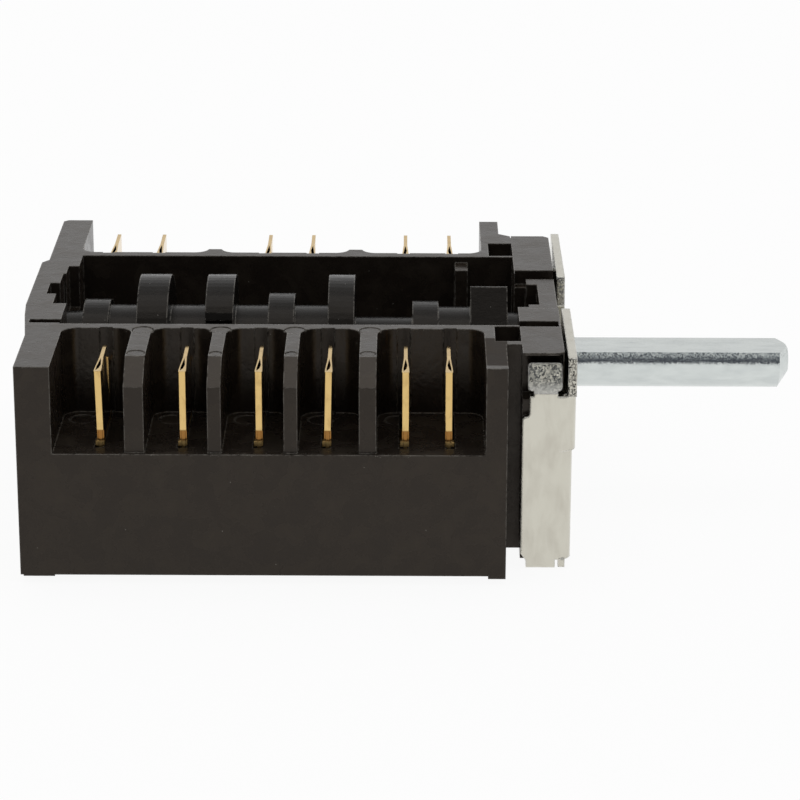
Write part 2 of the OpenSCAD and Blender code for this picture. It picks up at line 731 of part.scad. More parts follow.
// Outline of the terminal's single sheet below and behind the blade: Y inwards from the tip, Z
module terminal_sheet(arm_y) {
    arm_top = gallery_top - seat_gap;
    arm_bottom = arm_top - 4.2;
    back = tip_y - wall_out - 0.15;
    polygon([[0.3, blade_bottom + 0.3], [0.3, arm_top], [-0.4, arm_top], [-0.4, arm_bottom + 1],
        [0.6, arm_bottom], [tip_y - arm_y, arm_bottom], [tip_y - arm_y, arm_top],
        [back - 0.05, arm_top], [back - 0.05, blade_top - 2.6], [blade_len + 1, blade_top - 2.6],
        [blade_len + 0.2, blade_top - 1.2], [blade_len - 0.3, blade_top - 1.2],
        [blade_len - 0.3, blade_bottom + 0.3]]);
}

// One terminal of a row. arm_y is where its inner arm ends, flag_way the side to which the
// flag at the arm's end points: 0 for none
module terminal(side, x, hand, lean, arm_y, flag_ways, flag_len) {
    color("#d9be7b")
        translate([x, side * tip_y, 0])
            mirror([0, max(side, 0), 0])
                mirror([hand < 0 ? 1 : 0, 0, 0]) {
                    // Blade, folded along the edge that faces the front
                    translate([0, side > 0 ? blade_len : 0, blade_bottom])
                        mirror([0, max(side, 0), 0])
                            rotate([0, hand * lean, 0])
                                difference() {
                                    linear_extrude(blade_w)
                                        blade_profile();
                                    translate([0, 0, blade_w - 0.9])
                                        linear_extrude(0.9 + cut)
                                            fold_gap();
                                }
                    // Sheet that goes down through the floor
                    rotate([90, 0, 90])
                        linear_extrude(blade_sheet)
                            terminal_sheet(arm_y);
                    // Doubled root and its staked foot on the chamber floor
                    translate([-0.4 * blade_sheet, 0.4, floor_z + 0.05])
                        cube([1.8 * blade_sheet, 1.6, blade_bottom - floor_z]);
                    translate([-0.85 * blade_sheet, 0.35, floor_z + 0.05])
                        cube([blade_sheet, 0.7, 0.55]);
                    // Flags that lie along the drum
                    for (w = flag_ways)
                        translate([w * hand > 0 ? 0 : -flag_len + blade_sheet,
                            tip_y - arm_y - flag_t, stack_top - spring_h])
                            cube([flag_len, flag_t, spring_h]);
                }
}

// Ways in which a blade's flags point: towards each contact unit that it belongs to
function root_ways(side, i) = [for (u = UNITS) if (u[0] == side && u[1] == i) unit_way(u)];
function mate_ways(side, i) = [for (u = UNITS)
    if (u[0] == side && u[2] == i) (side < 0 ? -1 : 1) * unit_way(u)];

module row_terminal(side, i) {
    root = len(root_ways(side, i)) > 0;
    mate = len(mate_ways(side, i)) > 0;
    x = blade_x(side, i);
    hand = side < 0 ? FRONT_HAND[i] : REAR_HAND[i];
    lean = side < 0 ? FRONT_LEAN[i] : 0;
    spring_flag = spring_y + spring_t + seat_gap;
    terminal(side, x, hand, lean, root ? spring_flag : mate ? flag_y : wall_out + 1,
        concat(root_ways(side, i), mate_ways(side, i)), root ? 1.6 : 2 * rivet_side);
}

// Leaf spring of one contact unit
module contact_leaf(i) {
    u = UNITS[i];
    way = unit_way(u);
    x0 = blade_x(u[0], u[1]) + way * 0.1;
    x1 = tip_x(u);
    color("#c98f5a")
        block([min(x0, x1), max(x0, x1)],
            [u[0] > 0 ? spring_y : -spring_y - spring_t,
            u[0] > 0 ? spring_y + spring_t : -spring_y],
            [stack_top - spring_h, stack_top]);
}

// Follower stud: a short pin with a round nose that the cam lobe pushes
module follower_stud(i) {
    u = UNITS[i];
    r = follower_d / 2;
    color("#e6dfcf")
        translate([LOBES[u[3]][0], 0, spring_mid])
            rotate([u[0] > 0 ? -90 : 90, 0, 0])
                translate([0, 0, nose_y]) {
                    cylinder(r = r, h = spring_y - nose_y, $fn = 32);
                    sphere(r = r, $fn = 32);
                }
}

// Round contact head along Y
module rivet(x, y0, y1) {
    translate([x, min(y0, y1), spring_mid])
        rotate([-90, 0, 0])
            cylinder(d = contact_d, h = abs(y1 - y0), $fn = 32);
}

module moving_rivet(i) {
    u = UNITS[i];
    color("#dcdcdc")
        rivet(rivet_x(u), u[0] * (spring_y + spring_t), u[0] * (spring_y + spring_t + rivet_t));
}

module fixed_rivet(i) {
    u = UNITS[i];
    color("#dcdcdc")
        rivet(rivet_x(u), u[0] * (flag_y - rivet_t), u[0] * flag_y);
}

// Plan of one ear of the detent lever, seen along X
module lever_ear() {
    for (p = [[lever_y, lever_z], [roller_y, -roller_y]])
        translate(p)
            circle(ear_r, $fn = 48);
    translate([roller_y, -roller_y])
        rotate(45)
            translate([0, -ear_r])
                square([lever_len, 2 * ear_r]);
}

// Lever that holds the detent roller: two ears and a back strip
module detent_lever() {
    ear_x = ear_in + seat_gap;
    color("#b9b9b4")
        difference() {
            union() {
                for (x = [lever_mid - ear_x - ear_t, lever_mid + ear_x])
                    along_x(x, x + ear_t) {
                        lever_ear();
                        translate([roller_y, -roller_y])
                            rotate(45)
                                translate([-1.2, -strip_at - leaf_t])
                                    square([3.2, strip_at]);
                    }
                along_x(lever_mid - ear_x - ear_t, lever_mid + ear_x + ear_t)
                    translate([roller_y, -roller_y])
                        rotate(45)
                            translate([-1.2, -strip_at - leaf_t])
                                square([3.2, leaf_t]);
            }
            for (p = [[lever_y, lever_z], [roller_y, -roller_y]])
                rod(lever_mid - 5, lever_mid + 5, pin_d / 2 + run_gap, p[0], p[1]);
        }
}

module lever_pin() {
    color("#c7cccb")
        rod(post_left + 0.1, wall_right + 2.5, pin_d / 2, lever_y, lever_z);
}

module detent_roller() {
    color("#e6dfcf")
        difference() {
            rod(lever_mid - ear_in, lever_mid + ear_in, roller_d / 2, roller_y, -roller_y);
            rod(lever_mid - 5, lever_mid + 5, pin_d / 2 + run_gap, roller_y, -roller_y);
        }
}

module roller_pin() {
    color("#c7cccb")
        rod(lever_mid - ear_in - ear_t - 0.15, lever_mid + ear_in + ear_t + 0.15, pin_d / 2,
            roller_y, -roller_y);
}

// Direction of the run from a to b, and the direction to the left of it
function run_dir(a, b) = (b - a) / norm(b - a);
function left_of(u, turn = 0) =
    [-u[1] * cos(turn) - u[0] * sin(turn), u[0] * cos(turn) - u[1] * sin(turn)];

// Points of the bend at b, off to the left of a middle line that turns there on radius r
function bend(a, b, c, r, off) =
    let (u = run_dir(a, b), v = run_dir(b, c),
        turn = atan2(u[0] * v[1] - u[1] * v[0], u * v),
        way = sign(turn),
        centre = b - r * tan(abs(turn) / 2) * u + way * r * left_of(u))
    [for (k = [0:6]) centre + (off - way * r) * left_of(u, turn * k / 6)];

// One side of a strip that follows the points, off to the left of its middle line
function strip_side(points, r, off) =
    let (last = len(points) - 1)
    concat([points[0] + off * left_of(run_dir(points[0], points[1]))],
        [for (i = [1:last - 1]) each bend(points[i - 1], points[i], points[i + 1], r, off)],
        [points[last] + off * left_of(run_dir(points[last - 1], points[last]))]);

// Section of a sheet strip of thickness t that follows the points with round bends
module bent_strip(points, t, r) {
    right = strip_side(points, r, -t / 2);
    polygon(concat(strip_side(points, r, t / 2),
        [for (i = [len(right) - 1:-1:0]) right[i]]));
}

// Bent leaf that presses the lever towards the drum
module detent_spring() {
    foot_z = cover_top + leaf_t / 2;
    color("#b9b9b4")
        along_x(lever_mid - leaf_w / 2, lever_mid + leaf_w / 2)
            bent_strip([detent_at(leaf_at + leaf_t / 2, leaf_end - leaf_short), leaf_knee,
                [leaf_knee[0] - leaf_lean, foot_z], [leaf_knee[0] - leaf_lean - leaf_foot, foot_z]],
                leaf_t, leaf_bend);
}

module front_terminal_1() {
    row_terminal(-1, 0);
}

module front_terminal_2() {
    row_terminal(-1, 1);
}

module front_terminal_3() {
    row_terminal(-1, 2);
}

module front_terminal_4() {
    row_terminal(-1, 3);
}

module front_terminal_5() {
    row_terminal(-1, 4);
}

module front_terminal_6() {
    row_terminal(-1, 5);
}

module rear_terminal_1() {
    row_terminal(1, 0);
}

module rear_terminal_2() {
    row_terminal(1, 1);
}

module rear_terminal_3() {
    row_terminal(1, 2);
}

module rear_terminal_4() {
    row_terminal(1, 3);
}

module rear_terminal_5() {
    row_terminal(1, 4);
}

module rear_terminal_6() {
    row_terminal(1, 5);
}

module contact_spring_1() {
    contact_leaf(0);
}

module contact_spring_2() {
    contact_leaf(1);
}

module contact_spring_3() {
    contact_leaf(2);
}

module contact_spring_4() {
    contact_leaf(3);
}

module contact_spring_5() {
    contact_leaf(4);
}

module contact_spring_6() {
    contact_leaf(5);
}

module follower_1() {
    follower_stud(0);
}

module follower_2() {
    follower_stud(1);
}

module follower_3() {
    follower_stud(2);
}

module follower_4() {
    follower_stud(3);
}

module follower_5() {
    follower_stud(4);
}

module follower_6() {
    follower_stud(5);
}

module moving_contact_1() {
    moving_rivet(0);
}

module moving_contact_2() {
    moving_rivet(1);
}

module moving_contact_3() {
    moving_rivet(2);
}

module moving_contact_4() {
    moving_rivet(3);
}

module moving_contact_5() {
    moving_rivet(4);
}

module moving_contact_6() {
    moving_rivet(5);
}

module fixed_contact_1() {
    fixed_rivet(0);
}

module fixed_contact_2() {
    fixed_rivet(1);
}

module fixed_contact_3() {
    fixed_rivet(2);
}

module fixed_contact_4() {
    fixed_rivet(3);
}

module fixed_contact_5() {
    fixed_rivet(4);
}

module fixed_contact_6() {
    fixed_rivet(5);
}

housing();
base_cover();
mounting_bracket();
shaft();
cam_drum();
front_terminal_1();
front_terminal_2();
front_terminal_3();
front_terminal_4();
front_terminal_5();
front_terminal_6();
rear_terminal_1();
rear_terminal_2();
rear_terminal_3();
rear_terminal_4();
rear_terminal_5();
rear_terminal_6();
contact_spring_1();
contact_spring_2();
contact_spring_3();
contact_spring_4();
contact_spring_5();
contact_spring_6();
follower_1();
follower_2();
follower_3();
follower_4();
follower_5();
follower_6();
moving_contact_1();
moving_contact_2();
moving_contact_3();
moving_contact_4();
moving_contact_5();
moving_contact_6();
fixed_contact_1();
fixed_contact_2();
fixed_contact_3();
fixed_contact_4();
fixed_contact_5();
fixed_contact_6();
detent_lever();
lever_pin();
detent_roller();
roller_pin();
detent_spring();
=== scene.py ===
"""Oven selector switch, dressed for the studio.

A black moulded housing with an open top holds a cam drum; twelve folded blade terminals stand
in two rows of chambers; a zinc-plated bracket and a flatted shaft close the right end.
Places and pattern sizes are in millimetres, in the switch's own frame: X along the shaft, the
front terminals at negative Y, Z up from the shaft's axis.
"""

import logging
import math
from dataclasses import dataclass
from enum import Enum
from typing import Dict, List, Sequence, Tuple

import bpy
from mathutils import Matrix, Vector


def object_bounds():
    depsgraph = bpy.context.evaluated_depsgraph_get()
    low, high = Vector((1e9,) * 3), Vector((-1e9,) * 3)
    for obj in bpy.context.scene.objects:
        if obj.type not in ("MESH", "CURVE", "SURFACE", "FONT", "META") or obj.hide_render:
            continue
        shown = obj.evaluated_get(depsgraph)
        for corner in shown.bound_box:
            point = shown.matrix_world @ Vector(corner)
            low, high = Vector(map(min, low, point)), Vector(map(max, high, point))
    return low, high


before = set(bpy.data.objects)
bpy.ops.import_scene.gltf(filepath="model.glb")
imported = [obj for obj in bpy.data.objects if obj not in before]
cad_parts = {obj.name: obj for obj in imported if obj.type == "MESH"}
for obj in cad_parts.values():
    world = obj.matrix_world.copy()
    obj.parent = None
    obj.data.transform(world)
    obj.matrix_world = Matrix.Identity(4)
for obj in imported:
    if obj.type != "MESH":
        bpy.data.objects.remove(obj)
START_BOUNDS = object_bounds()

LOG = logging.getLogger("selector_switch")
MM = 0.001

Colour = Tuple[float, float, float, float]
Point = Tuple[float, float, float]
Box = Tuple[Point, Point]
Span = Tuple[float, float]
Socket = bpy.types.NodeSocket

EVEN: Point = (1.0, 1.0, 1.0)
WHOLE: Span = (0.0, 1.0)


def linear(hex_colour: str) -> Colour:
    """Turns an sRGB hex colour into the linear values that the shaders take, by the two-part
    sRGB curve.

    Args:
        hex_colour: six hex digits after a hash sign.

    Returns:
        Red, green, blue and alpha, linear.
    """
    raw = [int(hex_colour[i : i + 2], 16) / 255.0 for i in (1, 3, 5)]
    out = [c / 12.92 if c <= 0.04045 else ((c + 0.055) / 1.055) ** 2.4 for c in raw]
    return (out[0], out[1], out[2], 1.0)


@dataclass(frozen=True)
class Specks:
    """A speck pattern: spacing of its cells and radius of a speck in millimetres, and the
    share of the cells that hold one."""

    spacing: float
    radius: float
    share: float


class Tree:
    """The node tree of a material or of the world, with one way to add a node."""

    BEVEL_SAMPLES = 6
    OCTAVE_GAIN = 0.55
    # A speck is full inside this share of its radius
    SPECK_CORE = 0.55
    # Cosine of the rounded edge's turn where wear starts and where it is full
    WEAR_TURN: Span = (0.995, 0.9)
    # Values of the breaking pattern where wear is left out and where it is full
    WEAR_BREAKS: Span = (0.36, 0.56)

    def __init__(self, owner: bpy.types.ID) -> None:
        """Empties the owner's tree.

        Args:
            owner: the material or the world whose nodes are built.
        """
        owner.use_nodes = True
        self.nodes = owner.node_tree.nodes
        self.links = owner.node_tree.links
        self.nodes.clear()

    def add(self, kind: str, links: Dict | None = None, **settings: object) -> bpy.types.Node:
        """Adds a node, sets its properties and sockets, and links its inputs.

        Args:
            kind: Blender's node type.
            links: input name or number to the output socket that feeds it, or to a value.
            settings: node properties by name.

        Returns:
            The new node.
        """
        node = self.nodes.new(kind)
        for name, value in settings.items():
            setattr(node, name, value)
        for key, value in (links or {}).items():
            socket = node.inputs[key]
            if isinstance(value, bpy.types.NodeSocket):
                self.links.new(value, socket)
            else:
                socket.default_value = value
        return node

    def vector(self, operation: str, links: Dict) -> Socket:
        """One sum on directions or points.

        Args:
            operation: Blender's name of the sum.
            links: its inputs by name or number.

        Returns:
            The resulting vector.
        """
        return self.add("ShaderNodeVectorMath", links, operation=operation).outputs[0]

    def math(self, operation: str, first: Socket | float, *others: Socket | float) -> Socket:
        """One sum on two values or more, taken from the left.

        Args:
            operation: Blender's name of the sum.
            first: first value.
            others: the values that follow it.

        Returns:
            The result.
        """
        result = first
        for other in others:
            links = {0: result, 1: other}
            result = self.add("ShaderNodeMath", links, operation=operation).outputs[0]
        return result

    def remap(self, value: Socket | float, span: Span, result: Span = WHOLE) -> Socket:
        """Moves a value from one span to another and keeps it inside.

        Args:
            value: the value.
            span: the values that give the two ends of the result.
            result: the two ends of the result.

        Returns:
            The result.
        """
        links = {0: value, 1: span[0], 2: span[1], 3: result[0], 4: result[1]}
        return self.add("ShaderNodeMapRange", links).outputs[0]

    def mix(self, share: Socket | float, a: Socket | Colour, b: Socket | Colour) -> Socket:
        """Blends two colours.

        Args:
            share: 0 gives a, 1 gives b.
            a: first colour.
            b: second colour.

        Returns:
            The blended colour.
        """
        links = {0: share, 6: a, 7: b}
        return self.add("ShaderNodeMix", links, data_type="RGBA").outputs[2]

    def ramp(self, source: Socket, stops: Sequence[Tuple[float, str]]) -> Socket:
        """Maps a value to colours.

        Args:
            source: the value from 0 to 1.
            stops: places and sRGB hex colours.

        Returns:
            The ramp's colour socket.
        """
        node = self.add("ShaderNodeValToRGB", {0: source})
        band = node.color_ramp.elements
        while len(band) < len(stops):
            band.new(0.5)
        for element, (place, colour) in zip(band, stops):
            element.position = place
            element.color = linear(colour)
        return node.outputs[0]

    def place(self, stretch: Point = EVEN) -> Socket:
        """The point on the object in millimetres, each axis divided by its stretch.

        Args:
            stretch: how many times longer a pattern gets along each axis.

        Returns:
            A vector socket.
        """
        here = self.add("ShaderNodeTexCoord").outputs["Object"]
        return self.vector("MULTIPLY", {0: here, 1: tuple(1.0 / (MM * s) for s in stretch)})

    def height(self) -> Socket:
        """Height on the object above the shaft's axis, in millimetres."""
        return self.add("ShaderNodeSeparateXYZ", {0: self.place()}).outputs[2]

    def inside(self, box: Box) -> Socket:
        """1 inside a box on the object, 0 outside.

        Args:
            box: its lowest and its highest corner.

        Returns:
            A value socket.
        """
        axes = self.add("ShaderNodeSeparateXYZ", {0: self.place()}).outputs
        above = [self.math("GREATER_THAN", axes[i], low) for i, low in enumerate(box[0])]
        below = [self.math("LESS_THAN", axes[i], high) for i, high in enumerate(box[1])]
        return self.math("MULTIPLY", *above, *below)

    def noise(self, size: float, detail: float = 3.0, stretch: Point = EVEN, warp: float = 0.0) -> Socket:
        """Cloudy pattern.

        Args:
            size: millimetres from one cloud to the next.
            detail: number of finer octaves.
            stretch: how many times longer the clouds are along each axis.
            warp: how far the pattern is distorted.

        Returns:
            A value socket around 0.5.
        """
        links = {"Vector": self.place(stretch), "Scale": 1.0 / size, "Detail": detail,
                 "Roughness": self.OCTAVE_GAIN, "Distortion": warp}
        return self.add("ShaderNodeTexNoise", links).outputs[0]

    def cells(self, spacing: float) -> bpy.types.Node:
        """Cell pattern.

        Args:
            spacing: millimetres from one cell to the next.

        Returns:
            The pattern's node, with the distance to the cell's middle and the cell's colour.
        """
        return self.add("ShaderNodeTexVoronoi", {"Vector": self.place(), "Scale": 1.0 / spacing})

    def specks(self, kind: Specks) -> Socket:
        """Round specks in some of the cells of a cell pattern: 1 inside a speck, 0 outside.

        Args:
            kind: their spacing, radius and share.

        Returns:
            A value socket.
        """
        cells = self.cells(kind.spacing)
        radius = kind.radius / kind.spacing
        near = self.remap(cells.outputs["Distance"], (radius, self.SPECK_CORE * radius))
        pick = self.add("ShaderNodeSeparateColor", {0: cells.outputs["Color"]}).outputs[0]
        return self.math("MULTIPLY", near, self.math("LESS_THAN", pick, kind.share))

    def edges(self, radius: float) -> Socket:
        """The surface's direction with its edges rounded.

        Args:
            radius: radius of the rounding in millimetres.

        Returns:
            A normal socket.
        """
        return self.add("ShaderNodeBevel", {"Radius": radius * MM}, samples=self.BEVEL_SAMPLES).outputs[0]

    def scuffed(self, rounded: Socket, breaks: Socket | float = 1.0) -> Socket:
        """Share of wear on an edge: how far the rounded direction has turned from the flat
        face's own, broken up by a pattern.

        Args:
            rounded: normal from the edge rounding.
            breaks: pattern around 0.5 that breaks the line, or 1 for a whole line.

        Returns:
            A value socket from 0 to 1.
        """
        own = self.add("ShaderNodeNewGeometry").outputs["True Normal"]
        turn = self.add("ShaderNodeVectorMath", {0: rounded, 1: own}, operation="DOT_PRODUCT")
        worn = self.remap(turn.outputs["Value"], self.WEAR_TURN)
        return self.math("MULTIPLY", worn, self.remap(breaks, self.WEAR_BREAKS))

    def facets(self, size: float, tilt: Socket | float, below: Socket) -> Socket:
        """Tilts the surface's direction by a random amount in each crystal: the direction plus
        tilt times the cell's colour less a half, made one long again.

        Args:
            size: millimetres from one crystal to the next.
            tilt: twice the largest tilt, as a slope.
            below: the normal that this one is laid over.

        Returns:
            A normal socket.
        """
        colour = self.cells(size).outputs["Color"]
        centred = self.vector("SUBTRACT", {0: colour, 1: (0.5, 0.5, 0.5)})
        lean = self.vector("SCALE", {0: centred, "Scale": tilt})
        return self.vector("NORMALIZE", {0: self.vector("ADD", {0: lean, 1: below})})

    def bump(self, height: Socket, depth: float, below: Socket) -> Socket:
        """Raises the surface by a pattern.

        Args:
            height: pattern from 0 to 1.
            depth: millimetres from 0 to 1.
            below: the normal that this one is laid over.

        Returns:
            A normal socket.
        """
        links = {"Height": height, "Distance": depth * MM, "Strength": 1.0, "Normal": below}
        return self.add("ShaderNodeBump", links).outputs[0]

    def finish(self, **sockets: object) -> None:
        """Ends the tree in one principled surface.

        Args:
            sockets: values or sockets by input name, underscores for blanks.
        """
        links = {name.replace("_", " "): value for name, value in sockets.items()}
        surface = self.add("ShaderNodeBsdfPrincipled", links)
        self.add("ShaderNodeOutputMaterial", {0: surface.outputs[0]})


class Slot(Enum):
    """Material slots of the record."""

    MOULDING = "black_moulding"
    DRUM = "drum_plastic"
    PLATE = "zinc_plated_steel"
    SHAFT = "shaft_steel"
    BRASS = "terminal_brass"
    BRONZE = "spring_bronze"
    SILVER = "contact_silver"
    NYLON = "natural_nylon"
    SPRING = "spring_steel"


@dataclass(frozen=True)
class BlackMoulding:
    """Black thermoset, pressed in a polished steel mould. The body is nearly black, and what the
    eye sees is its skin: faint on faces that stand upright, pale grey on tops at a low angle."""

    body: str = "#26201b"
    worn: str = "#3b342c"
    dust: str = "#a8a39a"
    scuff: str = "#8f8a82"
    gloss: str = "#fff3e6"
    ior: float = 1.38
    roughness: float = 0.26
    dust_dullness: float = 0.4
    groove_dullness: float = 0.5
    filler_share: float = 0.55
    scuff_share: float = 0.75
    # Sizes of the patterns and depths of their relief
    mottle: float = 2.4
    mottle_depth: float = 0.045
    pit: float = 0.5
    pit_depth: float = 0.024
    grain: float = 0.11
    grain_depth: float = 0.003
    scuff_length: float = 0.7
    dust_patch: float = 3.5
    edge: float = 0.2
    loose_dust: Specks = Specks(0.9, 0.055, 0.05)
    fluff: Specks = Specks(0.22, 0.05, 0.5)
    # Ledges along the front of the chambers and along the top of the wall behind them
    ledges: Tuple[Box, ...] = (((-53.4, -27.6, -1.75), (-9.0, -26.5, -1.2)),
                               ((-53.4, -15.2, 7.4), (-9.0, -13.9, 8.0)))
    # Groove in front between the body and the head
    groove: Box = ((-9.3, -26.0, -13.0), (-7.0, -17.0, 9.0))

    def material(self) -> bpy.types.Material:
        """Builds the material.

        Returns:
            The material.
        """
        mat = bpy.data.materials.new("black_thermoset_compression_moulded")
        tree = Tree(mat)
        # Slow clouds of resin-rich and filler-rich skin
        clouds = tree.noise(self.mottle, 4.0, warp=0.4)
        filler = tree.remap(clouds, (0.42, 0.72), (0.0, self.filler_share))
        colour = tree.mix(filler, linear(self.body), linear(self.worn))
        # Pale dust, thicker in patches on the ledges
        ledges = tree.math("MAXIMUM", *(tree.inside(box) for box in self.ledges))
        patches = tree.remap(tree.noise(self.dust_patch, 2.0), (0.42, 0.6))
        settled = tree.math("MULTIPLY", ledges, tree.specks(self.fluff), patches)
        dusty = tree.math("MAXIMUM", tree.specks(self.loose_dust), settled)
        colour = tree.mix(dusty, colour, linear(self.dust))
        # Edges rubbed pale in stretches
        rounded = tree.edges(self.edge)
        scuffs = tree.scuffed(rounded, tree.noise(self.scuff_length))
        colour = tree.mix(tree.math("MULTIPLY", scuffs, self.scuff_share), colour, linear(self.scuff))
        # Dust is dull, and the mould leaves the groove dull too
        dull_dust = tree.math("MULTIPLY", dusty, self.dust_dullness)
        dull_groove = tree.math("MULTIPLY", tree.inside(self.groove), self.groove_dullness)
        uneven = tree.remap(clouds, (0.3, 0.7), (-0.05, 0.07))
        rough = tree.math("ADD", self.roughness, uneven, dull_dust, dull_groove)
        normal = tree.bump(clouds, self.mottle_depth, rounded)
        normal = tree.bump(tree.noise(self.pit), self.pit_depth, normal)
        normal = tree.bump(tree.noise(self.grain, 2.0), self.grain_depth, normal)
        tree.finish(Base_Color=colour, Roughness=rough, Normal=normal, IOR=self.ior,
                    Specular_Tint=linear(self.gloss))
        return mat


@dataclass(frozen=True)
class DrumPlastic:
    """Glass-filled nylon, injection moulded. Fibres at the skin make it dull dark grey with a
    fine lengthwise grain."""

    body: str = "#070606"
    fibre: str = "#171513"
    fleck: str = "#8d8984"
    rubbed: str = "#8a857e"
    gloss: str = "#fff3e6"
    ior: float = 1.25
    roughness: float = 0.25
    fibre_share: float = 0.35
    rubbed_share: float = 0.8
    # Sizes of the patterns and depths of their relief
    cloud: float = 1.6
    cloud_depth: float = 0.03
    grain: float = 0.12
    grain_depth: float = 0.006
    rubbed_length: float = 0.6
    edge: float = 0.24
    flecks: Specks = Specks(0.6, 0.05, 0.16)

    def material(self) -> bpy.types.Material:
        """Builds the material.

        Returns:
            The material.
        """
        mat = bpy.data.materials.new("glass_filled_nylon_moulded")
        tree = Tree(mat)
        clouds = tree.noise(self.cloud, 4.0, warp=0.6)
        fibres = tree.noise(self.grain, stretch=(4.0, 1.0, 1.0))
        surfaced = tree.remap(clouds, (0.4, 0.8), (0.0, self.fibre_share))
        colour = tree.mix(surfaced, linear(self.body), linear(self.fibre))
        colour = tree.mix(tree.specks(self.flecks), colour, linear(self.fleck))
        rounded = tree.edges(self.edge)
        rubbed = tree.scuffed(rounded, tree.noise(self.rubbed_length))
        colour = tree.mix(tree.math("MULTIPLY", rubbed, self.rubbed_share), colour, linear(self.rubbed))
        rough = tree.math("ADD", self.roughness, tree.remap(fibres, (0.35, 0.65), (-0.08, 0.08)))
        normal = tree.bump(fibres, self.grain_depth, tree.bump(clouds, self.cloud_depth, rounded))
        tree.finish(Base_Color=colour, Roughness=rough, Normal=normal, IOR=self.ior,
                    Specular_Tint=linear(self.gloss))
        return mat


@dataclass(frozen=True)
class ZincPlate:
    """Cold-rolled sheet, pressed and then zinc plated with a clear passivation. The crystals
    glitter where the sheet mirrors dark surroundings, and rubbed patches look cloudy. The bent tongue's
    rim and foot carry a painted highlight in the pale rubbed colour."""

    bright: str = "#cbc8bc"
    cloudy: str = "#c4c0b4"
    # Pale colour of real edge wear, and of the painted highlight on the tongue's rim and foot
    rubbed: str = "#f2f0ea"
    torn: str = "#5d5a55"
    roughness: float = 0.17
    wear_and_highlight_dullness: float = 0.4
    # Slopes of the crystals where the sheet is sound and where it is stretched or torn
    tilt: float = 0.06
    open_tilt: float = 0.54
    # Sizes of the patterns and depths of their relief
    cloud: float = 1.5
    cloud_depth: float = 0.006
    crystal: float = 0.17
    grit: float = 0.17
    rubbed_length: float = 0.8
    edge: float = 0.32
    rubbed_edge: float = 0.2
    # Sheared end of the face plate beside the tongue, the tongue, and the heights between
    # which the tongue turns into the flange
    torn_end: Box = ((-1.3, -23.4, 3.35), (0.2, -22.6, 7.7))
    tongue: Box = ((-5.6, -26.0, 3.7), (-1.2, -20.0, 7.4))
    tongue_foot: Span = (5.0, 3.9)
    lit_foot_share: float = 0.7
    # The tongue's rim and foot carry a painted highlight, drawn as partly matt so that its pale colour
    # shows
    rim_highlight_metal: float = 0.3

    def material(self) -> bpy.types.Material:
        """Builds the material.

        Returns:
            The material.
        """
        mat = bpy.data.materials.new("zinc_plated_pressed_sheet")
        tree = Tree(mat)
        clouds = tree.noise(self.cloud, 5.0, stretch=(0.8, 1.0, 2.2), warp=0.2)
        colour = tree.mix(tree.remap(clouds, (0.42, 0.72)), linear(self.bright), linear(self.cloudy))
        # Torn grain of the sheared end, dark between bright specks
        torn = tree.inside(self.torn_end)
        grit = tree.remap(tree.noise(self.grit), (0.46, 0.56), (0.15, 0.85))
        colour = tree.mix(tree.math("MULTIPLY", torn, grit), colour, linear(self.torn))
        # The bent tongue is stretched, which opens its crystals. Its rim and foot get a painted highlight
        # in the pale rubbed colour; other edges are rubbed pale in stretches as wear.
        rounded = tree.edges(self.edge)
        bent = tree.inside(self.tongue)
        lit_foot = tree.remap(tree.height(), self.tongue_foot, (0.0, self.lit_foot_share))
        rim_highlight = tree.math("MULTIPLY", bent, tree.math("MAXIMUM", lit_foot, tree.scuffed(rounded)))
        worn = tree.scuffed(tree.edges(self.rubbed_edge), tree.noise(self.rubbed_length))
        # Edge wear and the tongue's painted highlight together
        rubbed = tree.math("MAXIMUM", worn, rim_highlight)
        colour = tree.mix(rubbed, colour, linear(self.rubbed))
        uneven = tree.remap(clouds, (0.35, 0.7), (-0.04, 0.1))
        dull = tree.math("MULTIPLY", rubbed, self.wear_and_highlight_dullness)
        rough = tree.math("ADD", self.roughness, uneven, dull)
        tilt = tree.remap(tree.math("MAXIMUM", bent, torn), WHOLE, (self.tilt, self.open_tilt))
        normal = tree.facets(self.crystal, tilt, tree.bump(clouds, self.cloud_depth, rounded))
        metal = tree.remap(rim_highlight, WHOLE, (1.0, self.rim_highlight_metal))
        tree.finish(Base_Color=colour, Metallic=metal, Roughness=rough, Normal=normal)
        return mat


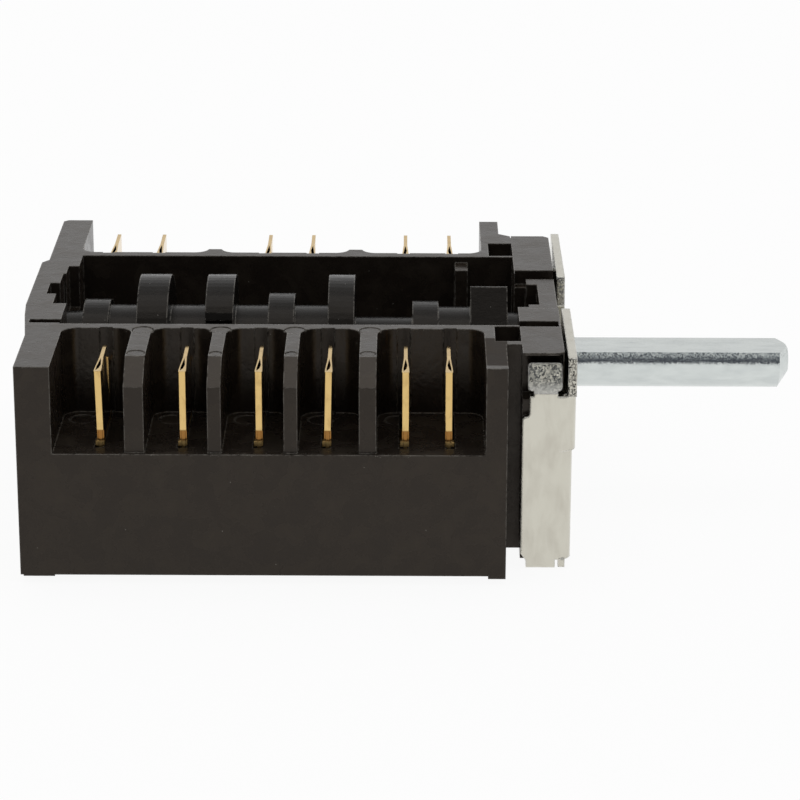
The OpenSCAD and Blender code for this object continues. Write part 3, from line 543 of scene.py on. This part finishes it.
@dataclass(frozen=True)
class ShaftSteel:
    """Drawn steel bar with a milled flat, zinc plated. Drawing lines run along the bar, and
    the plating's crystals break a dark reflection into blue-grey specks."""

    bright: str = "#d3d8d6"
    cloudy: str = "#c8cdcc"
    roughness: float = 0.2
    # Slopes of the crystals on the bar and next to the flat, where milling has opened them
    tilt: float = 0.08
    open_tilt: float = 0.42
    # Heights where the open crystals begin and are at their full slope, and the flat's edge
    opening: Span = (0.7, 1.3)
    flat_edge: float = 1.58
    # Sizes of the patterns and depth of the lines
    line: float = 0.2
    line_depth: float = 0.003
    cloud: float = 1.4
    crystal: float = 0.13
    edge: float = 0.08

    def material(self) -> bpy.types.Material:
        """Builds the material.

        Returns:
            The material.
        """
        mat = bpy.data.materials.new("zinc_plated_drawn_bar")
        tree = Tree(mat)
        lines = tree.noise(self.line, stretch=(14.0, 1.0, 1.0))
        clouds = tree.noise(self.cloud, 4.0, stretch=(2.5, 1.0, 1.0), warp=0.2)
        colour = tree.mix(tree.remap(clouds, (0.4, 0.7)), linear(self.bright), linear(self.cloudy))
        rough = tree.math("ADD", self.roughness, tree.remap(lines, (0.35, 0.65), (-0.05, 0.06)))
        height = tree.height()
        under_flat = tree.math("LESS_THAN", height, self.flat_edge)
        near_flat = tree.math("MULTIPLY", tree.remap(height, self.opening), under_flat)
        tilt = tree.remap(near_flat, WHOLE, (self.tilt, self.open_tilt))
        drawn = tree.bump(lines, self.line_depth, tree.edges(self.edge))
        normal = tree.facets(self.crystal, tilt, drawn)
        tree.finish(Base_Color=colour, Metallic=1.0, Roughness=rough, Normal=normal)
        return mat


@dataclass(frozen=True)
class RolledBrass:
    """Rolled brass strip, blanked and folded. Smooth enough to mirror the dark chambers on its
    sides. Its colour is browned towards the root as painted shade, and painted gold again at the foot as
    painted light."""

    gold: str = "#d6b678"
    # Brown serves both the random tarnish and the painted shade at the root; gold is also the painted
    # light at the foot
    brown: str = "#80501c"
    roughness: float = 0.11
    # Heights between which the blade is painted brown at its root as painted shade, and painted gold
    # again at its staked foot as painted light
    shaded_root: Span = (0.5, 0.2)
    lit_foot: Span = (-0.75, -0.95)
    shaded_root_share: float = 0.85
    lit_foot_share: float = 0.8
    foot_dullness: float = 0.3
    # Sizes of the patterns and depths of their relief
    line: float = 0.09
    line_depth: float = 0.0015
    cloud: float = 0.9
    cloud_depth: float = 0.008
    edge: float = 0.06

    def material(self) -> bpy.types.Material:
        """Builds the material.

        Returns:
            The material.
        """
        mat = bpy.data.materials.new("rolled_brass_blanked")
        tree = Tree(mat)
        lines = tree.noise(self.line, stretch=(1.0, 1.0, 9.0))
        clouds = tree.noise(self.cloud, stretch=(1.0, 1.0, 1.6), warp=0.5)
        tarnish = tree.remap(clouds, (0.5, 0.8), (0.0, 0.35))
        colour = tree.mix(tarnish, linear(self.gold), linear(self.brown))
        height = tree.height()
        # Painted shade browns the blade towards its root, and painted light turns its foot gold again
        shaded_root = tree.remap(height, self.shaded_root, (0.0, self.shaded_root_share))
        lit_foot = tree.remap(height, self.lit_foot, (0.0, self.lit_foot_share))
        colour = tree.mix(shaded_root, colour, linear(self.brown))
        colour = tree.mix(lit_foot, colour, linear(self.gold))
        rolled = tree.remap(lines, (0.35, 0.65), (-0.04, 0.05))
        dull = tree.remap(height, self.lit_foot, (0.0, self.foot_dullness))
        rough = tree.math("ADD", self.roughness, rolled, dull)
        soft = tree.bump(clouds, self.cloud_depth, tree.edges(self.edge))
        normal = tree.bump(lines, self.line_depth, soft)
        tree.finish(Base_Color=colour, Metallic=1.0, Roughness=rough, Normal=normal)
        return mat


@dataclass(frozen=True)
class PlainMetal:
    """A small metal piece: one colour, a fine rolled grain and a soft gloss."""

    name: str
    colour: str
    roughness: float
    grain: float = 0.15
    grain_depth: float = 0.004
    edge: float = 0.06

    def material(self) -> bpy.types.Material:
        """Builds the material.

        Returns:
            The material.
        """
        mat = bpy.data.materials.new(self.name)
        tree = Tree(mat)
        grain = tree.noise(self.grain)
        rough = tree.math("ADD", self.roughness, tree.remap(grain, (0.3, 0.7), (-0.05, 0.06)))
        normal = tree.bump(grain, self.grain_depth, tree.edges(self.edge))
        tree.finish(Base_Color=linear(self.colour), Metallic=1.0, Roughness=rough, Normal=normal)
        return mat


@dataclass(frozen=True)
class NaturalNylon:
    """Unfilled nylon, turned. Milky and slightly translucent, with turning marks."""

    colour: str = "#d8d0bd"
    roughness: float = 0.42
    mark: float = 0.1
    mark_depth: float = 0.004
    edge: float = 0.1
    # Share of the light that goes in, how far each colour spreads in metres, and its scale
    scatter: float = 0.2
    spread: Point = (0.001, 0.0008, 0.0005)
    spread_scale: float = 0.5

    def material(self) -> bpy.types.Material:
        """Builds the material.

        Returns:
            The material.
        """
        mat = bpy.data.materials.new("natural_nylon_turned")
        tree = Tree(mat)
        marks = tree.noise(self.mark, 2.0, stretch=(1.0, 4.0, 4.0))
        normal = tree.bump(marks, self.mark_depth, tree.edges(self.edge))
        tree.finish(Base_Color=linear(self.colour), Roughness=self.roughness, Normal=normal,
                    Subsurface_Weight=self.scatter, Subsurface_Radius=self.spread,
                    Subsurface_Scale=self.spread_scale)
        return mat


FINISHES: Dict[Slot, object] = {
    Slot.MOULDING: BlackMoulding(),
    Slot.DRUM: DrumPlastic(),
    Slot.PLATE: ZincPlate(),
    Slot.SHAFT: ShaftSteel(),
    Slot.BRASS: RolledBrass(),
    Slot.BRONZE: PlainMetal("phosphor_bronze_rolled", "#c99a62", 0.28),
    Slot.SILVER: PlainMetal("silver_contact_headed", "#dcdad4", 0.3, 0.08),
    Slot.NYLON: NaturalNylon(),
    Slot.SPRING: PlainMetal("spring_steel_rolled", "#8f9092", 0.24),
}


class Paints:
    """Builds each finish once."""

    def __init__(self) -> None:
        """Starts with no finish built."""
        self.made: Dict[Slot, bpy.types.Material] = {}

    def get(self, slot: Slot) -> bpy.types.Material:
        """The slot's material, built when first asked for.

        Args:
            slot: the record's material slot.

        Returns:
            The material.
        """
        if slot not in self.made:
            self.made[slot] = FINISHES[slot].material()
        return self.made[slot]


PAINTS = Paints()


def report(obj: bpy.types.Object) -> None:
    """Logs a piece's name, size and finish.

    Args:
        obj: the piece.
    """
    size = [d / MM for d in obj.dimensions]
    LOG.info("%s: %.1f x %.1f x %.1f mm, %s", obj.name, *size, obj.material_slots[0].material.name)


@dataclass
class Assembly:
    """A sub-assembly of CAD pieces, named by the first letters of its nodes."""

    stems: Tuple[str, ...] = ()

    def nodes(self) -> List[str]:
        """Names of the sub-assembly's CAD nodes, stem by stem and in order."""
        return [node for stem in self.stems for node in sorted(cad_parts) if node.startswith(stem)]

    def dress(self, node: str) -> None:
        """Gives a CAD node the finish of its material slot.

        Args:
            node: the CAD node.
        """
        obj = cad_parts[node]
        slot = Slot(obj.material_slots[0].material.name.split(".")[0])
        obj.material_slots[0].material = PAINTS.get(slot)
        report(obj)

    def build(self) -> None:
        """Gives every piece its finish."""
        for node in self.nodes():
            self.dress(node)


@dataclass
class Housing(Assembly):
    """The black moulding and the plate that closes its underside."""

    stems: Tuple[str, ...] = ("housing", "base_cover")


@dataclass
class Drum(Assembly):
    """The cam drum and the shaft that turns it."""

    stems: Tuple[str, ...] = ("cam_drum", "shaft")


@dataclass
class Bracket(Assembly):
    """The folded sheet that carries the switch behind the panel."""

    stems: Tuple[str, ...] = ("mounting_bracket",)


@dataclass
class Terminals(Assembly):
    """The two rows of folded blades."""

    stems: Tuple[str, ...] = ("front_terminal", "rear_terminal")


@dataclass
class Contacts(Assembly):
    """The leaf springs with their studs and the rivets that they close."""

    stems: Tuple[str, ...] = ("contact_spring", "follower", "moving_contact", "fixed_contact")


@dataclass
class Detent(Assembly):
    """The sprung lever and roller that hold the drum in its positions."""

    stems: Tuple[str, ...] = ("detent_lever", "lever_pin", "detent_roller", "roller_pin",
                              "detent_spring")


@dataclass
class Studio:
    """White floor, white backdrop, soft overhead light and the camera of the photograph."""

    # Camera: focal length and film width in millimetres, angles in degrees, and how far the
    # switch's origin lies in front of the camera, to its right and above its middle
    lens: float = 143.8
    film: float = 36.0
    pitch: float = 18.943
    yaw: float = 0.168
    roll: float = 0.177
    distance: float = 347.526
    shift_right: float = 18.051
    shift_up: float = 4.525
    # Nearest and farthest distance that the camera draws, in metres
    clip: Span = (0.01, 20.0)
    # Floor: half its width in metres, its colour, and its share of even glow where it is
    # seen straight or in a gloss
    floor_half: float = 2.5
    paper: str = "#f2f2f2"
    glow_share: float = 0.93
    # Lamp: place, width and length in metres, and power in watts
    lamp_place: Point = (-0.03, 0.08, 0.75)
    lamp_size: Span = (0.7, 0.5)
    lamp_power: float = 1.1
    # Sky colours by the sine of the elevation: the dark side of the room is where the camera
    # stands, and it begins between these two depths of the direction
    sky_ahead: Tuple[Tuple[float, str], ...] = (
        (0.0, "#41444c"), (0.27, "#4c4f58"), (0.5, "#a2a5a8"), (0.71, "#c8caca"),
        (0.9, "#d8d8d7"), (1.0, "#e0e0e0"))
    sky_behind: Tuple[Tuple[float, str], ...] = ((0.0, "#ececec"), (0.5, "#e9e9e9"), (1.0, "#e0e0e0"))
    sky_turn: Span = (-0.05, -0.35)

    def build(self) -> None:
        """Makes the camera, the floor, the world and the lamp."""
        self.camera()
        bpy.context.scene.view_settings.view_transform = "Standard"
        self.floor()
        self.world()
        self.lamp()

    def camera(self) -> None:
        """Makes the camera: its axes come from pitch, yaw and roll, and its place is the
        origin moved back along the view and aside by the two offsets."""
        pitch, yaw, roll = (math.radians(a) for a in (self.pitch, self.yaw, self.roll))
        level = Vector((math.cos(yaw), math.sin(yaw), 0.0))
        ahead = Vector((-math.sin(yaw) * math.cos(pitch), math.cos(yaw) * math.cos(pitch),
                        -math.sin(pitch)))
        upright = level.cross(ahead)
        right = math.cos(roll) * level + math.sin(roll) * upright
        up = -math.sin(roll) * level + math.cos(roll) * upright
        place = -(self.shift_right * right + self.shift_up * up + self.distance * ahead) * MM
        data = bpy.data.cameras.new("photo_camera")
        data.lens = self.lens
        data.sensor_width = self.film
        data.clip_start, data.clip_end = self.clip
        cam = bpy.data.objects.new("photo_camera", data)
        bpy.context.scene.collection.objects.link(cam)
        turn = Matrix((right, up, -ahead)).transposed()
        cam.matrix_world = Matrix.Translation(place) @ turn.to_4x4()
        bpy.context.scene.camera = cam

    def floor(self) -> None:
        """Lays the pale floor at the lowest point of the switch."""
        low = START_BOUNDS[0].z
        h = self.floor_half
        mesh = bpy.data.meshes.new("floor")
        corners = [(-h, -h, low), (h, -h, low), (h, h, low), (-h, h, low)]
        mesh.from_pydata(corners, [], [(0, 1, 2, 3)])
        obj = bpy.data.objects.new("floor", mesh)
        bpy.context.scene.collection.objects.link(obj)
        mat = bpy.data.materials.new("white_paper_floor")
        tree = Tree(mat)
        rays = tree.add("ShaderNodeLightPath").outputs
        paper = tree.add("ShaderNodeBsdfDiffuse", {"Color": linear(self.paper)})
        glow = tree.add("ShaderNodeEmission", {"Color": linear("#ffffff"), "Strength": 1.0})
        seen = tree.math("MAXIMUM", rays["Is Camera Ray"], rays["Is Glossy Ray"])
        share = tree.math("MULTIPLY", seen, self.glow_share)
        mix = tree.add("ShaderNodeMixShader", {0: share, 1: paper.outputs[0], 2: glow.outputs[0]})
        tree.add("ShaderNodeOutputMaterial", {0: mix.outputs[0]})
        mesh.materials.append(mat)

    def world(self) -> None:
        """Paints the surroundings: white behind, and in front dark at eye level and lighter
        towards the top. The camera itself sees plain white."""
        world = bpy.data.worlds.new("studio_surroundings")
        bpy.context.scene.world = world
        tree = Tree(world)
        rays = tree.add("ShaderNodeLightPath").outputs
        direction = tree.add("ShaderNodeTexCoord").outputs["Generated"]
        axes = tree.add("ShaderNodeSeparateXYZ", {0: direction}).outputs
        turn = {0: axes[1], 1: self.sky_turn[0], 2: self.sky_turn[1], 3: 0.0, 4: 1.0}
        front = tree.add("ShaderNodeMapRange", turn, interpolation_type="SMOOTHSTEP").outputs[0]
        ahead = tree.ramp(axes[2], self.sky_ahead)
        behind = tree.ramp(axes[2], self.sky_behind)
        sky = tree.add("ShaderNodeBackground", {0: tree.mix(front, behind, ahead), 1: 1.0})
        white = tree.add("ShaderNodeBackground", {0: linear("#ffffff"), 1: 1.0})
        links = {0: rays["Is Camera Ray"], 1: sky.outputs[0], 2: white.outputs[0]}
        mix = tree.add("ShaderNodeMixShader", links)
        tree.add("ShaderNodeOutputWorld", {0: mix.outputs[0]})

    def lamp(self) -> None:
        """Hangs one large soft lamp overhead, a little to the back, that shines straight down."""
        data = bpy.data.lights.new("overhead_softbox", "AREA")
        data.shape = "RECTANGLE"
        data.size, data.size_y = self.lamp_size
        data.energy = self.lamp_power
        lamp = bpy.data.objects.new("overhead_softbox", data)
        bpy.context.scene.collection.objects.link(lamp)
        lamp.location = self.lamp_place
        down = Vector((0.0, 0.0, -1.0))
        lamp.rotation_euler = down.to_track_quat("-Z", "Y").to_euler()


def main() -> None:
    """Builds the studio and every sub-assembly, and reports each piece."""
    logging.basicConfig(level=logging.INFO, format="%(name)s: %(message)s")
    for part in (Studio(), Housing(), Drum(), Bracket(), Terminals(), Contacts(), Detent()):
        part.build()


if __name__ == "__main__":
    main()
